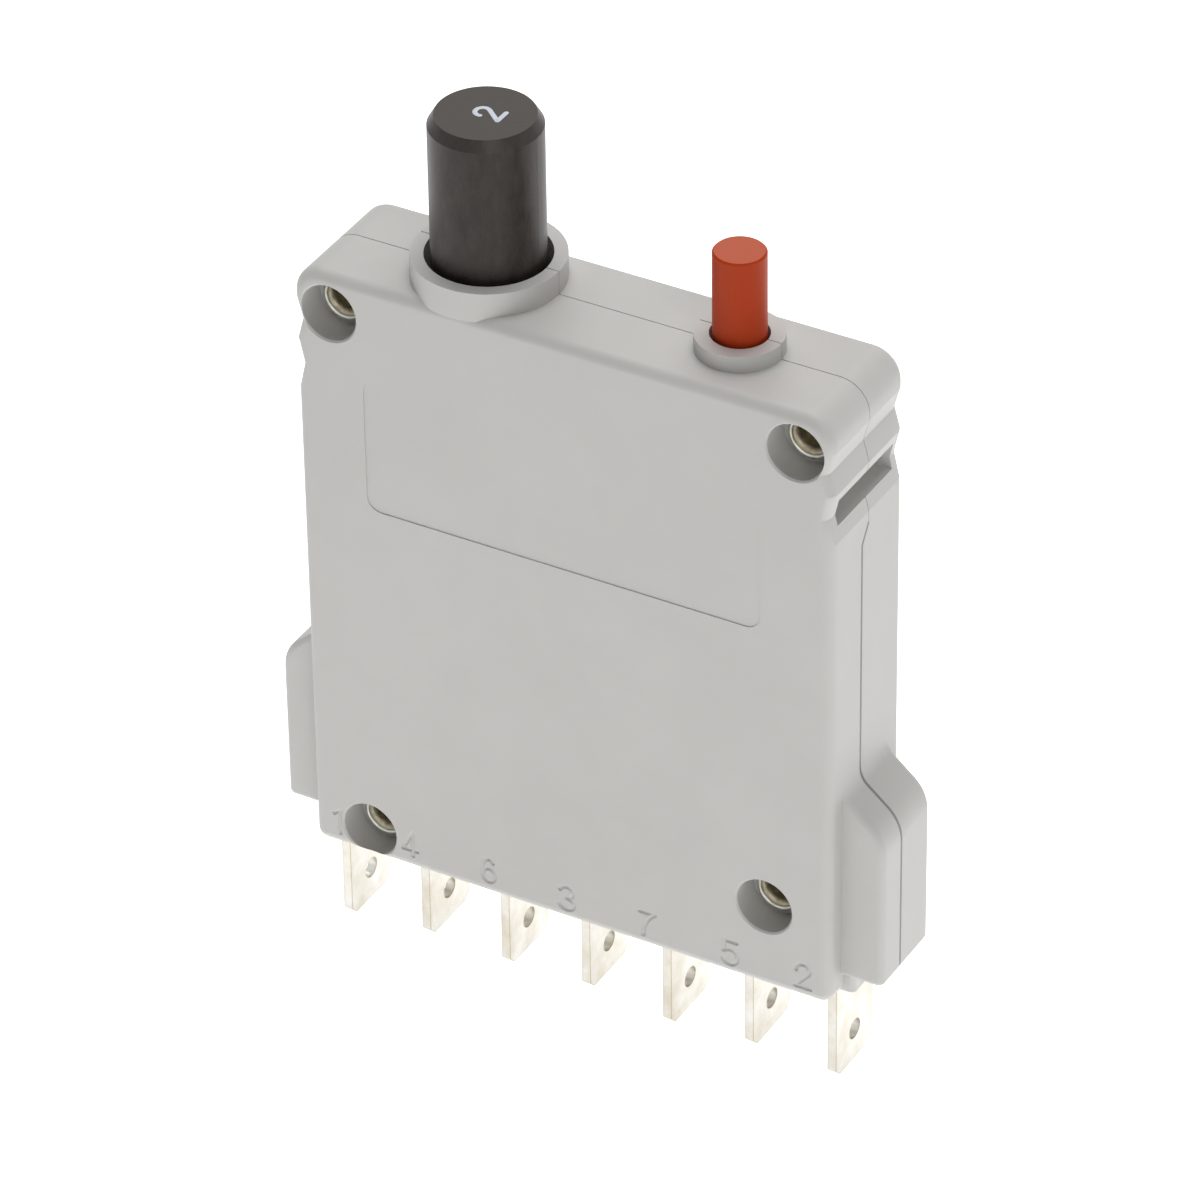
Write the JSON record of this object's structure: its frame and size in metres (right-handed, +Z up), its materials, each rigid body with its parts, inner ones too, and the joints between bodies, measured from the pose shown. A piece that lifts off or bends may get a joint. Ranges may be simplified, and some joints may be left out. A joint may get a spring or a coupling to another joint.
{
  "type": "thermal circuit breaker",
  "caption": "Plug-in thermal circuit breaker: slim moulded housing with a tall press-to-reset button, a small release button and a row of flat tab terminals underneath.",
  "frame": {"origin": "middle of the terminal row on the base face of the housing", "axes": "+X along the terminal row towards terminal 2, +Y from the front face to the back face, +Z up towards the buttons"},
  "size_m": [0.0556, 0.0124, 0.0807],
  "materials": {
    "housing_plastic": "moulded, fine matt grey",
    "reset_plastic": "satin black",
    "release_plastic": "satin red",
    "mechanism_plastic": "natural moulded",
    "rivet_metal": "nickel plated",
    "silver_plated_brass": "silver plated, satin",
    "contact_silver": "silver alloy",
    "bimetal": "rolled bimetal sheet",
    "spring_bronze": "rolled bronze",
    "steel": "turned",
    "spring_steel": "drawn wire"
  },
  "bodies": {
    "housing": {"front_shell": "housing_plastic", "back_shell": "housing_plastic", "housing_rivets": "rivet_metal", "terminal_1": "silver_plated_brass", "terminal_4": "silver_plated_brass", "terminal_6": "silver_plated_brass", "terminal_3": "silver_plated_brass", "terminal_7": "silver_plated_brass", "terminal_5": "silver_plated_brass", "terminal_2": "silver_plated_brass", "line_strip": "silver_plated_brass", "feed_strip": "silver_plated_brass", "load_strip": "silver_plated_brass", "tap_strip": "silver_plated_brass", "fixed_contacts": "contact_silver", "signal_strip_5": "silver_plated_brass", "signal_strip_6": "silver_plated_brass", "signal_fixed_contacts": "contact_silver", "latch_pin": "steel", "reset_spring": "spring_steel", "release_spring": "spring_steel", "latch_spring": "spring_steel"},
    "reset_button": {"reset_button": "reset_plastic", "contact_spring": "spring_steel"},
    "contact_bar": {"contact_bar": "silver_plated_brass", "moving_contacts": "contact_silver"},
    "release_button": {"release_button": "release_plastic"},
    "latch_lever": {"latch_lever": "mechanism_plastic", "calibration_screw": "steel"},
    "bimetal": {"bimetal": "bimetal"},
    "signal_slider": {"signal_slider": "mechanism_plastic"},
    "signal_leaf_4": {"signal_leaf_4": "spring_bronze", "signal_contact_4": "contact_silver"},
    "signal_leaf_7": {"signal_leaf_7": "spring_bronze", "signal_contact_7": "contact_silver"}
  },
  "joints": [
    {"name": "reset_press", "type": "slide", "parent": "housing", "child": "reset_button", "axis": [0, 0, -1], "range_m": [0, 0.0055], "stiffness_N_per_m": 300, "springref_m": -0.005, "deforming": ["reset_spring"]},
    {"name": "contact_yield", "type": "slide", "parent": "reset_button", "child": "contact_bar", "axis": [0, 0, 1], "range_m": [0, 0.0008], "deforming": ["contact_spring"]},
    {"name": "signal_shift", "type": "slide", "parent": "housing", "child": "signal_slider", "axis": [1, 0, 0], "range_m": [0, 0.001]},
    {"name": "signal_leaf_4_bend", "type": "hinge", "parent": "housing", "child": "signal_leaf_4", "pos_m": [-0.01524, 0, 0.0081], "axis": [0, 1, 0], "range_deg": [0, 11.3]},
    {"name": "signal_leaf_7_bend", "type": "hinge", "parent": "housing", "child": "signal_leaf_7", "pos_m": [0.00762, 0, 0.0081], "axis": [0, 1, 0], "range_deg": [0, 11.3]},
    {"name": "release_press", "type": "slide", "parent": "housing", "child": "release_button", "axis": [0, 0, -1], "range_m": [0, 0.0024], "stiffness_N_per_m": 300, "springref_m": -0.004, "deforming": ["release_spring"]},
    {"name": "latch_turn", "type": "hinge", "parent": "housing", "child": "latch_lever", "pos_m": [0.003, 0, 0.0245], "axis": [0, 1, 0], "range_deg": [0, 14.1], "deforming": ["latch_spring"]},
    {"name": "bimetal_bend", "type": "hinge", "parent": "housing", "child": "bimetal", "pos_m": [0.01756, 0, 0.022], "axis": [0, -1, 0], "range_deg": [0, 1.4], "stiffness_Nm_per_rad": 0.5}
  ],
  "couplings": [
    {"joint": "contact_yield", "follows": "reset_press", "ratio": 0.14545},
    {"joint": "signal_shift", "follows": "reset_press", "ratio": 0.18181},
    {"joint": "signal_leaf_4_bend", "follows": "reset_press", "rad_per_m": 35.65},
    {"joint": "signal_leaf_7_bend", "follows": "reset_press", "rad_per_m": 35.65},
    {"joint": "latch_turn", "follows": "release_press", "rad_per_m": 102.04}
  ]
}
